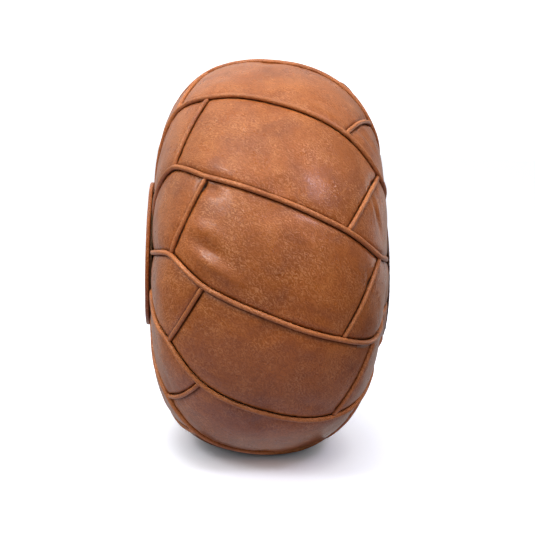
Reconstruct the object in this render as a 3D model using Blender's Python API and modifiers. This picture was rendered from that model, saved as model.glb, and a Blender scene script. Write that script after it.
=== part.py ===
"""A round stuffed leather pouf, standing on its edge.

World frame: the pouf's axis is level along X, its top face looks to -X and its
base face, with the zip, to +X. The floor is z = 0, and the origin is the middle
of the flat patch that the pouf rests on.

The cover is described in skin coordinates: s runs along the profile from the
equator (s = 0) to the base face (+) or to the top face (-), and phi is the angle
around the axis, 0 towards -Y and a quarter turn at the top of the pouf.
"""

import math

import bmesh
import bpy
import numpy as np
from mathutils import Matrix, Vector

MM = 0.001

# Driving sizes
STRIPS = 12                     # strips of the woven pattern around the pouf
RADIUS = 280 * MM               # greatest radius of the stuffed cover
HALF_WIDTH = 162 * MM           # equator plane to the middle of the top face
WIDTH_POWER = 2.3               # fullness of the sides
RIM_POWER = 3.85                # flatness of the two faces
BASE_BULGE = 4.5 * MM           # the filling pushes the zipped flap out this far
FLAP_LEAN = math.radians(3.6)   # and sags, so that the flap's lower edge comes out further
BULGE_EDGE, BULGE_END = 121 * MM, 160 * MM           # radii between which both fade
TOP_FACE, BASE_FACE = -HALF_WIDTH, HALF_WIDTH + BASE_BULGE
REST_DEPTH = 8 * MM             # how far the floor presses the edge in
AXIS_HEIGHT = RADIUS - REST_DEPTH
BASE_MIDDLE = Vector((BASE_FACE, 0, AXIS_HEIGHT))

# Pattern: each long seam is radial on both faces and steps down one strip in between
STEP = 2 * math.pi / STRIPS
FIRST_SEAM = math.radians(97.6)                      # angle of the first seam on the top face
TOP_BEND, TOP_CROSS = -0.535 * RADIUS, -0.325 * RADIUS
BASE_CROSS, BASE_BEND = 0.325 * RADIUS, 0.575 * RADIUS
TOP_CROSS_SHARE, BASE_CROSS_SHARE = 0.31, 0.77       # share of the step made by there
BEND_ROUNDING = 11 * MM

# Leather and welts
LEATHER = 5 * MM                # panel with its backing
WELT_RADIUS = 4 * MM
CROSS_WELT_RADIUS = 3.9 * MM
PANEL_INSET = 5.0 * MM          # panel edge to the seam's centre line
WELT_INSET = 9 * MM             # cross welt's free end to the next seam's centre line
GAP = 0.3 * MM

# Top disc
DISC_RADIUS = 102.5 * MM
DISC_HEIGHT = 3.6 * MM          # above the middle of the face
DISC_UNDERSIDE = -2 * MM        # sunk in among the petals
DISC_LEATHER = 1 * MM
BOSS_RADIUS = 88 * MM           # the board's part that rests on the filled bag
BOSS_DEPTH = 5 * MM
TOP_PETAL_END = 103.2 * MM      # petals and welts end just outside the disc
TOP_WELT_END = 104 * MM

# Base disc and zip
ZIP_RADIUS = 100 * MM
ZIP_SLOT = 3 * MM
TAPE_EDGES = (84.4 * MM, 115 * MM)
TAPE = 1 * MM
HINGE_LEATHER = 3 * MM
COIL_RADIUS = 1.2 * MM
COIL_OFFSET = 3.1 * MM          # each coil's centre to the zip's middle line
COIL_MARGIN = math.radians(1)   # the coils stop this short of the tapes' ends
BASE_DISC_RADIUS = 84 * MM
BASE_DISC_RISE = 3 * MM
BASE_PETAL_END = 115.4 * MM
BASE_WELT_END = 118 * MM
ZIP_CLOSED_END, ZIP_OPEN_END = math.radians(-82), math.radians(128)
SLIDER_PARKED = math.radians(-75)
SEAM_GAP = 0.4 * MM             # between the base disc and the hinge strip's ends

# Slider and pull, heights above the tape
PLATE = 1.4 * MM                # thickness of the slider's two plates
PLATE_UNDERSIDE = 3.4 * MM
FLANGE_FOOT = 0.5 * MM          # lower end of the side flanges
LOWER_PLATE_GAP = 0.7 * MM      # tape's underside to the lower plate
PLATE_HALF_WIDTH = 6.4 * MM
FLANGE = 1.3 * MM
POST_HALF_WIDTH = 0.65 * MM
SLIDER_HALF_LENGTH = 7 * MM
BRIDGE_RADIUS = 0.7 * MM
BRIDGE_REACH = 4.6 * MM         # slider's middle to each leg of the bridge
BRIDGE_CROWN = 1.6 * MM         # above the pull's pivot
BRIDGE_SHOULDER = 0.4 * MM
BRIDGE_CHAMFER = 1.2 * MM
PIVOT_HEIGHT = 6.3 * MM         # middle of the pull's end bar
PULL = 1.2 * MM
PULL_HALF_WIDTH = 4.4 * MM
PULL_LENGTH = 27 * MM
PULL_CORNER = 3 * MM
WINDOW_HALF_WIDTH = 2 * MM
WINDOW_END = 7.6 * MM

# Stuffing
LINER_DEPTH = 9 * MM
LINER = 1.2 * MM
LINER_MOUTH = 80 * MM
FILLING_DEPTH = 11 * MM
BAG_ROWS, BAG_SIDES = 14, 24

# How finely the shapes are divided: cells along and across, or steps around
SIDE_CELLS, TOP_CELLS, BASE_CELLS = (8, 6), (6, 5), (7, 5)
BASE_CROWDING = 1.5             # a base petal's rows lie closer together on the bulge
HINGE_CELLS, TAPE_CELLS = (2, 16), (1, 36)
BEND_STOPS = (-34 * MM, -14 * MM, 0, 14 * MM)        # a long welt's points at a bend
SIDE_STOPS = 8
CROSS_WELT_POINTS = 5
DISC_STEPS, BOARD_STEPS, COIL_STEPS = 40, 36, 44
DISC_EDGE_STEPS, INNER_EDGE_STEPS, PAD_EDGE_STEPS = 5, 3, 4
PROFILE_POINTS = 6001
WELD = 0.01 * MM
TUBE_RESOLUTION = 1             # six sides
SHARP_ANGLE = math.radians(40)  # edges that turn more than this are shaded sharp


# Skin of the pouf

def bulge_share(radius):
    """How much of the flap's bulge there is at a radius: all inside its edge, none past its end."""
    share = np.clip((BULGE_END - radius) / (BULGE_END - BULGE_EDGE), 0, 1)
    return share ** 2 * (3 - 2 * share)


def profile_table():
    """Arc length, x, radius and outward normal along the profile, top face first."""
    turn = np.linspace(-math.pi / 2, math.pi / 2, PROFILE_POINTS)
    x = HALF_WIDTH * np.sign(turn) * np.abs(np.sin(turn)) ** (2 / WIDTH_POWER)
    radius = RADIUS * np.abs(np.cos(turn)) ** (2 / RIM_POWER)
    x += BASE_BULGE * (turn > 0) * bulge_share(radius)
    length = np.concatenate([[0], np.cumsum(np.hypot(np.diff(x), np.diff(radius)))])
    length -= np.interp(0, x, length)
    along_x, along_r = np.gradient(x, length), np.gradient(radius, length)
    size = np.hypot(along_x, along_r)
    return length, x, radius, -along_r / size, along_x / size


LENGTH, X, RADII, NORMAL_X, NORMAL_R = profile_table()
LEAN = Matrix.Rotation(-FLAP_LEAN, 4, "Y")


def leaned(point, share=1.0):
    """The point turned with the leaning flap about the middle of the base."""
    return point.lerp(BASE_MIDDLE + LEAN @ (point - BASE_MIDDLE), share)


def radius_at(s):
    return float(np.interp(s, LENGTH, RADII))


def arc_to_radius(radius, side):
    """Arc length at which the skin has this radius: side -1 on the top face, +1 on the base."""
    half = LENGTH * side > 0
    order = np.argsort(RADII[half])
    return float(np.interp(radius, RADII[half][order], LENGTH[half][order]))


def skin_point(s, phi, height=0.0):
    """A point at a height above the skin, lifted where the floor presses the skin in."""
    radius, x = radius_at(s), float(np.interp(s, LENGTH, X))
    out_x = float(np.interp(s, LENGTH, NORMAL_X))
    out_r = float(np.interp(s, LENGTH, NORMAL_R))
    lift = max(0.0, -(AXIS_HEIGHT + radius * math.sin(phi)))
    far = radius + height * out_r
    point = Vector((x + height * out_x, -far * math.cos(phi), AXIS_HEIGHT + far * math.sin(phi) + lift))
    return leaned(point, float(bulge_share(radius))) if s > 0 else point


def face_point(phi, radius, height):
    """A point at a height above the middle of the base face."""
    return leaned(Vector((BASE_FACE + height, -radius * math.cos(phi), AXIS_HEIGHT + radius * math.sin(phi))))


# The woven pattern

def soft_ramp(distance):
    return (distance + math.hypot(distance, BEND_ROUNDING)) / 2


def seam_corners():
    """Where the seam's slope changes, and by how much."""
    stops = [TOP_BEND, TOP_CROSS, BASE_CROSS, BASE_BEND]
    shares = [0, TOP_CROSS_SHARE, BASE_CROSS_SHARE, 1]
    slopes = [0, *(np.diff(shares) / np.diff(stops)), 0]
    return list(zip(stops, np.diff(slopes)))


CORNERS = seam_corners()


def seam_share(s):
    """Share of the one-strip step that a seam has made at s."""
    return sum(change * soft_ramp(s - stop) for stop, change in CORNERS)


def strip_phi(strip, s, across):
    """Angle at a share across a strip, from its upper seam (0) to its lower one (1)."""
    return FIRST_SEAM - STEP * (strip + across + seam_share(s))


def top_cross(across):
    return TOP_CROSS + (TOP_BEND - TOP_CROSS) * across


def base_cross(across):
    return BASE_BEND + (BASE_CROSS - BASE_BEND) * across


def seam_slope(s):
    """Sideways travel of a seam for a unit of arc length."""
    reach = MM
    return STEP * radius_at(s) * (seam_share(s + reach) - seam_share(s - reach)) / (2 * reach)


def seam_inset(s, distance):
    """Share of the strip's width that keeps a distance from its seam."""
    return distance * math.hypot(1, seam_slope(s)) / (STEP * radius_at(s))


def cross_inset(cross, across, distance):
    """Arc length that keeps a distance from a cross seam, at constant share across."""
    s, run = cross(across), cross(1) - cross(0)
    drop = STEP * radius_at(s) + seam_slope(s) * run
    return distance * math.hypot(run, drop) / abs(run * seam_slope(s) - drop)


# Modelling helpers

def collection(name):
    made = bpy.data.collections.new(name)
    bpy.context.scene.collection.children.link(made)
    return made


def material(name, colour, roughness, metallic=0.0):
    made = bpy.data.materials.new(name)
    made.use_nodes = True
    shader = made.node_tree.nodes["Principled BSDF"]
    shader.inputs["Base Color"].default_value = (*colour, 1)
    shader.inputs["Roughness"].default_value = roughness
    shader.inputs["Metallic"].default_value = metallic
    return made


def add(name, data, look):
    made = bpy.data.objects.new(name, data)
    PARTS.objects.link(made)
    data.materials.append(look)
    if made.type == "MESH":
        data.shade_smooth()
        data.set_sharp_from_angle(angle=SHARP_ANGLE)
    return made


def grid_mesh(name, columns, rows, place):
    """A grid whose points are placed by their two shares, 0 to 1."""
    shape = bmesh.new()
    bmesh.ops.create_grid(shape, x_segments=columns, y_segments=rows, size=0.5)
    for point in shape.verts:
        point.co = place(point.co.x + 0.5, point.co.y + 0.5)
    bmesh.ops.remove_doubles(shape, verts=shape.verts, dist=WELD)
    mesh = bpy.data.meshes.new(name)
    shape.to_mesh(mesh)
    shape.free()
    return mesh


def thicken(piece, thickness):
    """Gives an open surface its thickness, inwards."""
    wall = piece.modifiers.new("thickness", "SOLIDIFY")
    wall.thickness = thickness
    wall.offset = -1
    wall.use_even_offset = True


def patch(name, strip, low, high, cells, look, crowding=1.0):
    """A leather piece of one strip, between two edges given by their share across.

    Crowding above 1 brings the rows closer together towards the high edge.
    """
    def place(along, across):
        along = 1 - (1 - along) ** crowding
        s = low(1 - across) + (high(1 - across) - low(1 - across)) * along
        edge = seam_inset(s, PANEL_INSET)
        inner = 1 - edge - (1 - 2 * edge) * across
        s = low(inner) + (high(inner) - low(inner)) * along
        return skin_point(s, strip_phi(strip, s, inner))

    thicken(add(name, grid_mesh(name, *cells, place), look), LEATHER)


def ring_patch(name, inner, outer, start, end, cells, thickness, look):
    """A flat strip on the base face between two radii and two angles."""
    def place(along, around):
        s = arc_to_radius(inner, 1) + (arc_to_radius(outer, 1) - arc_to_radius(inner, 1)) * along
        return skin_point(s, end + (start - end) * around)

    thicken(add(name, grid_mesh(name, *cells, place), look), thickness)


def tube(name, points, radius, look):
    """A round tube with filled ends along points."""
    curve = bpy.data.curves.new(name, "CURVE")
    curve.dimensions = "3D"
    curve.bevel_depth = radius
    curve.bevel_resolution = TUBE_RESOLUTION
    curve.use_fill_caps = True
    spline = curve.splines.new("POLY")
    spline.points.add(len(points) - 1)
    for slot, point in zip(spline.points, points):
        slot.co = (*point, 1)
    return add(name, curve, look)


def plate(name, outline, half_thickness, look, hole=()):
    """A flat outline with an optional hole, thickened both ways along its local Z."""
    curve = bpy.data.curves.new(name, "CURVE")
    curve.dimensions = "2D"
    curve.fill_mode = "BOTH"
    curve.extrude = half_thickness
    for loop in filter(None, (outline, hole)):
        spline = curve.splines.new("POLY")
        spline.points.add(len(loop) - 1)
        spline.use_cyclic_u = True
        for slot, (across, along) in zip(spline.points, loop):
            slot.co = (across, along, 0, 1)
    return add(name, curve, look)


def turned(name, outline, look, steps, face, lean=0.0):
    """A profile of (radius, height) points turned about the middle of the face at this x."""
    mesh = bpy.data.meshes.new(name)
    shape = bmesh.new()
    points = [shape.verts.new((radius, 0, height)) for radius, height in outline]
    for start, end in zip(points, points[1:]):
        shape.edges.new((start, end))
    shape.to_mesh(mesh)
    shape.free()
    piece = add(name, mesh, look)
    screw = piece.modifiers.new("turn", "SCREW")
    screw.steps = screw.render_steps = steps
    screw.use_merge_vertices = True
    screw.merge_threshold = WELD
    piece.location = (face, 0, AXIS_HEIGHT)
    piece.rotation_euler = (0, math.copysign(math.pi / 2, face) - lean, 0)
    return piece


def as_mesh(piece):
    """The same piece as a mesh with welded caps, so that it can be joined."""
    bpy.context.view_layer.update()
    graph = bpy.context.evaluated_depsgraph_get()
    mesh = bpy.data.meshes.new_from_object(piece.evaluated_get(graph))
    shape = bmesh.new()
    shape.from_mesh(mesh)
    bmesh.ops.remove_doubles(shape, verts=shape.verts, dist=WELD)
    bmesh.ops.recalc_face_normals(shape, faces=shape.faces)
    shape.to_mesh(mesh)
    shape.free()
    name, place = piece.name, piece.matrix_world.copy()
    bpy.data.objects.remove(piece)
    made = bpy.data.objects.new(name, mesh)
    made.matrix_world = place
    PARTS.objects.link(made)
    return made


def join(piece, other):
    """Makes another piece part of this one."""
    PARTS.objects.unlink(other)
    GUIDES.objects.link(other)
    other.hide_render = True
    other.display_type = "WIRE"
    union = piece.modifiers.new("join " + other.name, "BOOLEAN")
    union.operation = "UNION"
    union.solver = "EXACT"
    union.object = other


# Cover

def side_panel(strip):
    def low(across):
        return top_cross(across) + cross_inset(top_cross, across, PANEL_INSET)

    def high(across):
        return base_cross(across) - cross_inset(base_cross, across, PANEL_INSET)

    patch(f"side_panel_{strip + 1:02d}", strip, low, high, SIDE_CELLS, LOOKS["side_leather"])


def top_petal(strip):
    start = arc_to_radius(TOP_PETAL_END, -1)

    def high(across):
        return top_cross(across) - cross_inset(top_cross, across, PANEL_INSET)

    patch(f"top_petal_{strip + 1:02d}", strip, lambda across: start, high, TOP_CELLS, LOOKS["top_leather"])


def base_petal(strip):
    end = arc_to_radius(BASE_PETAL_END, 1)

    def low(across):
        return base_cross(across) + cross_inset(base_cross, across, PANEL_INSET)

    patch(f"base_petal_{strip + 1:02d}", strip, low, lambda across: end, BASE_CELLS, LOOKS["base_leather"],
          BASE_CROWDING)


def welt_point(s, phi):
    """Centre of a welt: on the skin, and clear of the floor where the floor presses it in."""
    point = skin_point(s, phi)
    point.z = max(point.z, WELT_RADIUS + GAP)
    return point


def long_welt_stops():
    """Arc lengths of a long welt's points, closer together at its bends."""
    start, end = arc_to_radius(TOP_WELT_END, -1), arc_to_radius(BASE_WELT_END, 1)
    top = [start, *(TOP_BEND + step for step in BEND_STOPS)]
    side = list(np.linspace(TOP_CROSS, BASE_CROSS, SIDE_STOPS))
    base = [BASE_BEND + step for step in BEND_STOPS]
    return [*top, *side, *base, end]


def cross_welt(name, strip, cross, look):
    """A welt across a strip, from its upper seam to just short of its lower one."""
    slope = STEP * radius_at(cross(1))
    last = 1 - WELT_INSET / slope
    points = []
    for across in np.linspace(0, last, CROSS_WELT_POINTS):
        s = cross(across)
        points.append(welt_point(s, strip_phi(strip, s, across)))
    return as_mesh(tube(name, points, CROSS_WELT_RADIUS, look))


def piping(strip):
    name = f"piping_{strip + 1:02d}"
    look = LOOKS["piping_leather"]
    points = [welt_point(s, strip_phi(strip, s, 0)) for s in long_welt_stops()]
    welt = as_mesh(tube(name, points, WELT_RADIUS, look))
    join(welt, cross_welt(name + "_top_cross", strip, top_cross, look))
    join(welt, cross_welt(name + "_base_cross", strip, base_cross, look))


# Top disc

def rounded(centre, radius, start, end, steps):
    """Points of an arc of (radius, height), angles in degrees."""
    angles = np.radians(np.linspace(start, end, steps))
    return [(centre[0] + radius * math.cos(a), centre[1] + radius * math.sin(a)) for a in angles]


def top_disc():
    edge = (DISC_HEIGHT - DISC_UNDERSIDE) / 2
    middle = (DISC_RADIUS - edge, DISC_UNDERSIDE + edge)
    inside = DISC_HEIGHT - DISC_LEATHER
    cover = [
        (0, DISC_HEIGHT),
        *rounded(middle, edge, 90, -90, DISC_EDGE_STEPS),
        (BOSS_RADIUS + 2 * GAP, DISC_UNDERSIDE),
        (BOSS_RADIUS + 2 * GAP, DISC_UNDERSIDE + DISC_LEATHER),
        *rounded(middle, edge - DISC_LEATHER, -90, 90, INNER_EDGE_STEPS),
        (0, inside),
    ]
    turned("top_disc_cover", cover, LOOKS["disc_leather"], DISC_STEPS, TOP_FACE)
    board = [
        (0, inside - GAP),
        (middle[0], inside - GAP),
        (middle[0], DISC_UNDERSIDE + DISC_LEATHER + GAP),
        (BOSS_RADIUS, DISC_UNDERSIDE + DISC_LEATHER + GAP),
        (BOSS_RADIUS, -BOSS_DEPTH),
        (0, -BOSS_DEPTH),
    ]
    turned("top_disc_board", board, LOOKS["disc_board"], BOARD_STEPS, TOP_FACE)


# Base disc and zip

def base_disc():
    edge = BASE_DISC_RISE
    disc = [
        (0, BASE_DISC_RISE),
        *rounded((BASE_DISC_RADIUS - edge, 0), edge, 90, 0, PAD_EDGE_STEPS),
        (BASE_DISC_RADIUS, -LEATHER),
        (0, -LEATHER),
    ]
    turned("base_disc_panel", disc, LOOKS["base_leather"], DISC_STEPS, BASE_FACE, FLAP_LEAN)
    gap_angle = SEAM_GAP / BASE_DISC_RADIUS
    start, end = ZIP_OPEN_END + gap_angle, ZIP_CLOSED_END - gap_angle + 2 * math.pi
    ring_patch("base_hinge_strip", *TAPE_EDGES, start, end, HINGE_CELLS, HINGE_LEATHER, LOOKS["base_leather"])


def zip_tapes():
    slot_inner, slot_outer = ZIP_RADIUS - ZIP_SLOT / 2, ZIP_RADIUS + ZIP_SLOT / 2
    ends = (ZIP_CLOSED_END, ZIP_OPEN_END)
    ring_patch("zip_tape_inner", TAPE_EDGES[0], slot_inner, *ends, TAPE_CELLS, TAPE, LOOKS["zip_tape"])
    ring_patch("zip_tape_outer", slot_outer, TAPE_EDGES[1], *ends, TAPE_CELLS, TAPE, LOOKS["zip_tape"])


def tape_height():
    """Height of the tape's face at the zip, from the middle of the base face."""
    return float(np.interp(arc_to_radius(ZIP_RADIUS, 1), LENGTH, X)) - BASE_FACE


def zip_coil(name, radius):
    height = tape_height() + COIL_RADIUS + 2 * GAP
    angles = np.linspace(ZIP_CLOSED_END + COIL_MARGIN, ZIP_OPEN_END - COIL_MARGIN, COIL_STEPS)
    points = [face_point(phi, radius, height) for phi in angles]
    tube(name, points, COIL_RADIUS, LOOKS["zip_coil"])


def slider_frame():
    """The parked slider's own axes: X outwards along the radius, Y along the zip, Z off the face."""
    phi = SLIDER_PARKED
    outward = Vector((0, -math.cos(phi), math.sin(phi)))
    off_face = Vector((1, 0, 0))
    along = off_face.cross(outward)
    frame = LEAN @ Matrix((outward, along, off_face)).transposed().to_4x4()
    frame.translation = face_point(phi, ZIP_RADIUS, tape_height())
    return frame


def zip_slider():
    """Upper plate with side flanges, post through the slot, lower plate, and the pull's bridge."""
    top, floor = PLATE_UNDERSIDE + PLATE, -TAPE - LOWER_PLATE_GAP
    lower_half_width = PLATE_HALF_WIDTH - FLANGE
    half = [
        (PLATE_HALF_WIDTH, top),
        (PLATE_HALF_WIDTH, FLANGE_FOOT),
        (lower_half_width, FLANGE_FOOT),
        (lower_half_width, PLATE_UNDERSIDE),
        (POST_HALF_WIDTH, PLATE_UNDERSIDE),
        (POST_HALF_WIDTH, floor),
        (lower_half_width, floor),
        (lower_half_width, floor - PLATE),
    ]
    outline = half + [(-across, height) for across, height in reversed(half)]
    body = plate("zip_slider", outline, SLIDER_HALF_LENGTH, LOOKS["zip_metal"])
    body.matrix_world = slider_frame() @ Matrix.Rotation(math.pi / 2, 4, "X")
    body = as_mesh(body)
    half = [
        (BRIDGE_REACH, top - BRIDGE_RADIUS / 2),
        (BRIDGE_REACH, PIVOT_HEIGHT + BRIDGE_SHOULDER),
        (BRIDGE_REACH - BRIDGE_CHAMFER, PIVOT_HEIGHT + BRIDGE_CROWN),
    ]
    bridge = half + [(-along, height) for along, height in reversed(half)]
    points = [slider_frame() @ Vector((0, along, height)) for along, height in bridge]
    join(body, as_mesh(tube("zip_slider_bridge", points, BRIDGE_RADIUS, LOOKS["zip_metal"])))
    return body


def zip_pull():
    """A tab with a window: its end bar turns under the slider's bridge."""
    half_bar, corner = PULL / 2, PULL_CORNER
    tip = [
        (PULL_HALF_WIDTH - corner * (1 - math.cos(turn)), PULL_LENGTH - corner * (1 - math.sin(turn)))
        for turn in np.radians([0, 30, 60, 90])
    ]
    half = [(PULL_HALF_WIDTH, -half_bar), *tip]
    outline = half + [(-across, along) for across, along in reversed(half)]
    window = [
        (-WINDOW_HALF_WIDTH, half_bar),
        (WINDOW_HALF_WIDTH, half_bar),
        (WINDOW_HALF_WIDTH, WINDOW_END),
        (-WINDOW_HALF_WIDTH, WINDOW_END),
    ]
    tab = plate("zip_pull", outline, half_bar, LOOKS["zip_metal"], window)
    tab.matrix_world = slider_frame() @ Matrix.Translation((0, 0, PIVOT_HEIGHT))
    return tab


def keep_parent(child, parent):
    bpy.context.view_layer.update()
    child.parent = parent
    child.matrix_parent_inverse = parent.matrix_world.inverted()


def zip_motion():
    """The slider turns about the flap's axis, and the pull about its end bar."""
    axis = bpy.data.objects.new("zip_axis", None)
    axis.location = BASE_MIDDLE
    axis.rotation_euler = LEAN.to_euler()
    PARTS.objects.link(axis)
    slider, pull = zip_slider(), zip_pull()
    keep_parent(slider, axis)
    keep_parent(pull, slider)


# Stuffing

def bag(name, depth, stops, look):
    """A round surface under the skin, through these arc lengths."""
    def place(along, around):
        s = stops[round(along * (len(stops) - 1))]
        return skin_point(s, 2 * math.pi * around, -depth)

    return add(name, grid_mesh(name, len(stops) - 1, BAG_SIDES, place), look)


def stuffing():
    """A cloth liner, open at the base where the zip lets a hand in, and the filling inside it."""
    stops = [float(s) for s in np.linspace(LENGTH[0], arc_to_radius(LINER_MOUTH, 1), BAG_ROWS)]
    thicken(bag("inner_liner", LINER_DEPTH, stops, LOOKS["liner"]), LINER)
    bag("filling", FILLING_DEPTH, [*stops, LENGTH[-1]], LOOKS["filling"])


# The pouf

for old in list(bpy.data.objects):
    bpy.data.objects.remove(old)

PARTS, GUIDES = collection("leather_pouf"), collection("joined_shapes")
LOOKS = {
    "side_leather": material("side_leather", (0.29, 0.085, 0.030), 0.42),
    "top_leather": material("top_leather", (0.33, 0.105, 0.040), 0.42),
    "base_leather": material("base_leather", (0.27, 0.078, 0.028), 0.45),
    "piping_leather": material("piping_leather", (0.42, 0.155, 0.060), 0.45),
    "disc_leather": material("disc_leather", (0.36, 0.120, 0.048), 0.42),
    "disc_board": material("disc_board", (0.30, 0.19, 0.10), 0.85),
    "zip_tape": material("zip_tape", (0.16, 0.062, 0.026), 0.9),
    "zip_coil": material("zip_coil", (0.19, 0.076, 0.032), 0.45),
    "zip_metal": material("zip_metal", (0.62, 0.60, 0.57), 0.25, 1.0),
    "liner": material("liner", (0.60, 0.56, 0.48), 0.95),
    "filling": material("filling", (0.72, 0.68, 0.60), 0.95),
}

for number in range(STRIPS):
    side_panel(number)
    top_petal(number)
    base_petal(number)
    piping(number)
top_disc()
base_disc()
zip_tapes()
zip_coil("zip_coil_inner", ZIP_RADIUS - COIL_OFFSET)
zip_coil("zip_coil_outer", ZIP_RADIUS + COIL_OFFSET)
zip_motion()
stuffing()
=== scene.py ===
"""Looks of the leather pouf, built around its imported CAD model.

The cover is described in skin coordinates, as in the CAD model: s runs along the
profile from the equator to the base face (+) or the top face (-), phi is the angle
around the axis from -Y upwards, and height is the distance off the skin.
"""

import math

import bpy
import numpy as np
from mathutils import Matrix, Vector, noise


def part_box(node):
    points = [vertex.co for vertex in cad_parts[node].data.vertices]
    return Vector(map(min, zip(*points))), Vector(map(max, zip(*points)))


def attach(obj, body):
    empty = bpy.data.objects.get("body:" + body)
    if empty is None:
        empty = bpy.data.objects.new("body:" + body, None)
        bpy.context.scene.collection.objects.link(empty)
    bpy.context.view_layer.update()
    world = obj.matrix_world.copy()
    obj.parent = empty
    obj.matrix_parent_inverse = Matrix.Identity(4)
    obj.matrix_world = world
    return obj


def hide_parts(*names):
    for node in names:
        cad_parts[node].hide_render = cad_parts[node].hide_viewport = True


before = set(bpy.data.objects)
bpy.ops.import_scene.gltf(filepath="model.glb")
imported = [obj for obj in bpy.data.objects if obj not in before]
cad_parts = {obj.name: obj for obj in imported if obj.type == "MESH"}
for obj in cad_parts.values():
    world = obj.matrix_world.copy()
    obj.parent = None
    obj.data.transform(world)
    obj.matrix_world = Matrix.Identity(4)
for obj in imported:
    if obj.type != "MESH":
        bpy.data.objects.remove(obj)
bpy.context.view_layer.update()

MM = 0.001
BODY = "pouf"


# Sizes, the first few read from the frame

def outer_radius(node):
    """The greatest distance of a node's points from the pouf's axis."""
    return max(math.hypot(v.co.y, v.co.z - AXIS_HEIGHT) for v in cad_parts[node].data.vertices)


DISC_LOW, DISC_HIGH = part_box("top_disc_cover")
AXIS_HEIGHT = (DISC_LOW.z + DISC_HIGH.z) / 2
DISC_RADIUS = (DISC_HIGH.z - DISC_LOW.z) / 2
RADIUS = outer_radius("side_panel_01")
HALF_WIDTH = 162 * MM
BASE_DISC_RISE = 3 * MM
BASE_DISC_RADIUS = 84 * MM

# The zipped flap bulges out of the base and leans, its lower edge further out
BASE_BULGE, FLAP_LEAN = 4.5 * MM, math.radians(3.6)
BULGE_EDGE, BULGE_END = 121 * MM, 160 * MM
BASE_FACE = HALF_WIDTH + BASE_BULGE

# Shape of the cover and its woven pattern, as in the CAD model
STRIPS = 12
WIDTH_POWER, RIM_POWER = 2.3, 3.85
STEP = 2 * math.pi / STRIPS
FIRST_SEAM = math.radians(97.6)
TOP_BEND, TOP_CROSS = -0.535 * RADIUS, -0.325 * RADIUS
BASE_CROSS, BASE_BEND = 0.325 * RADIUS, 0.575 * RADIUS
TOP_CROSS_SHARE, BASE_CROSS_SHARE = 0.31, 0.77
BEND_ROUNDING = 11 * MM

# Where the leather sinks below the skin: towards the top disc, and round the flap
TOP_DIP, TOP_DIP_REACH = 4.5 * MM, 90 * MM
BASE_DIP, BASE_DIP_RADIUS, BASE_DIP_REACH = 3 * MM, 145 * MM, 24 * MM

# Zip
ZIP_RADIUS = 100 * MM
ZIP_START, ZIP_END = math.radians(-82), math.radians(128)
ZIP_SLOT = 3 * MM
SEAM_GAP = 0.4 * MM  # between the tapes or hinge leather and what they join
TAPE_RADII = (BASE_DISC_RADIUS + SEAM_GAP, 115 * MM)
TAPE = 1 * MM
COIL_MARGIN = math.radians(1)  # the coils stop this short of the tapes' ends
COIL_PITCH = 1.7 * MM
COIL_OFFSET = 2.8 * MM  # each coil's centre to the zip's middle line
COIL_HALF_WIDTH = 1.7 * MM
COIL_HALF_HEIGHT = 0.85 * MM
COIL_WIRE = 0.36 * MM
COIL_STEPS = 9  # points on each turn of a coil
COIL_LIFT = 0.4 * MM  # the coils' underside above the skin
HINGE_EDGES = (84.5 * MM, 114.8 * MM)
HINGE_CREASE = 101 * MM  # radius at which the flap folds
HINGE_CREASE_DEPTH, HINGE_FOLD_HEIGHT, HINGE_SINK = 0.9 * MM, 0.18 * MM, 0.2 * MM
TAPE_WAVE, TAPE_SINK = 0.15 * MM, 0.1 * MM

# Leather panels
LEATHER = 1.8 * MM
SEAM_ROWS = (0.75 * MM, 2.9 * MM, 4.4 * MM, 8 * MM)  # rows of points beside a seam
SEAM_PROFILE = (  # distances from a seam, and the leather's heights there
    [0, 0.75 * MM, 2.2 * MM, 3.1 * MM, 4.3 * MM, 6.5 * MM, 10 * MM, 22 * MM],
    [-4.8 * MM, -4.7 * MM, -4.0 * MM, -3.0 * MM, -2.1 * MM, -1.6 * MM, -1.1 * MM, -0.8 * MM],
)
TUCK = 10 * MM  # the top petals run this far in under the disc
TOP_PETAL_END, BASE_PETAL_END = DISC_RADIUS - TUCK, TAPE_RADII[1] + SEAM_GAP
TOP_HEM_ROWS = (0, 5 * MM, 10.5 * MM, 13 * MM)
BASE_HEM_ROWS = (0, 2 * MM, 5 * MM)
HEM_DIP, HEM_REACH = 1.1 * MM, 2 * MM  # the leather turns down at the disc's rim and the zip
FLOOR_GAP = 0.3 * MM  # least height of the leather and welts above the floor

# The cover's cloth simulation
PINNED = 4.6 * MM  # the cloth is held this near to a seam or a hem
CLOTH_FRAMES = 20
CLOTH_SETTINGS = {
    "quality": 6, "mass": 0.4, "air_damping": 3,
    "tension_stiffness": 30, "compression_stiffness": 30,
    "shear_stiffness": 12, "bending_stiffness": 6,
    "shrink_min": -0.01,  # below zero, it is a little too large for its seams
    "use_pressure": True, "uniform_pressure_force": 4,
    "vertex_group_mass": "pinned",
}
MOST_BULGE = 3 * MM  # it moves no further than this

# Creases across the seams, and the leather's unevenness away from them
CREASE_LENGTH = 12 * MM
CREASE_DEPTH = 0.55 * MM
CREASE_START, CREASE_REACH = 3 * MM, 11 * MM
SMOOTH_EDGE = 14 * MM  # the unevenness is full this far from a seam
UNEVEN_HEIGHT, UNEVEN_SIZE = 1.1 * MM, 55 * MM
FINE_HEIGHT, FINE_SIZE = 0.35 * MM, 19 * MM

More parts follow.
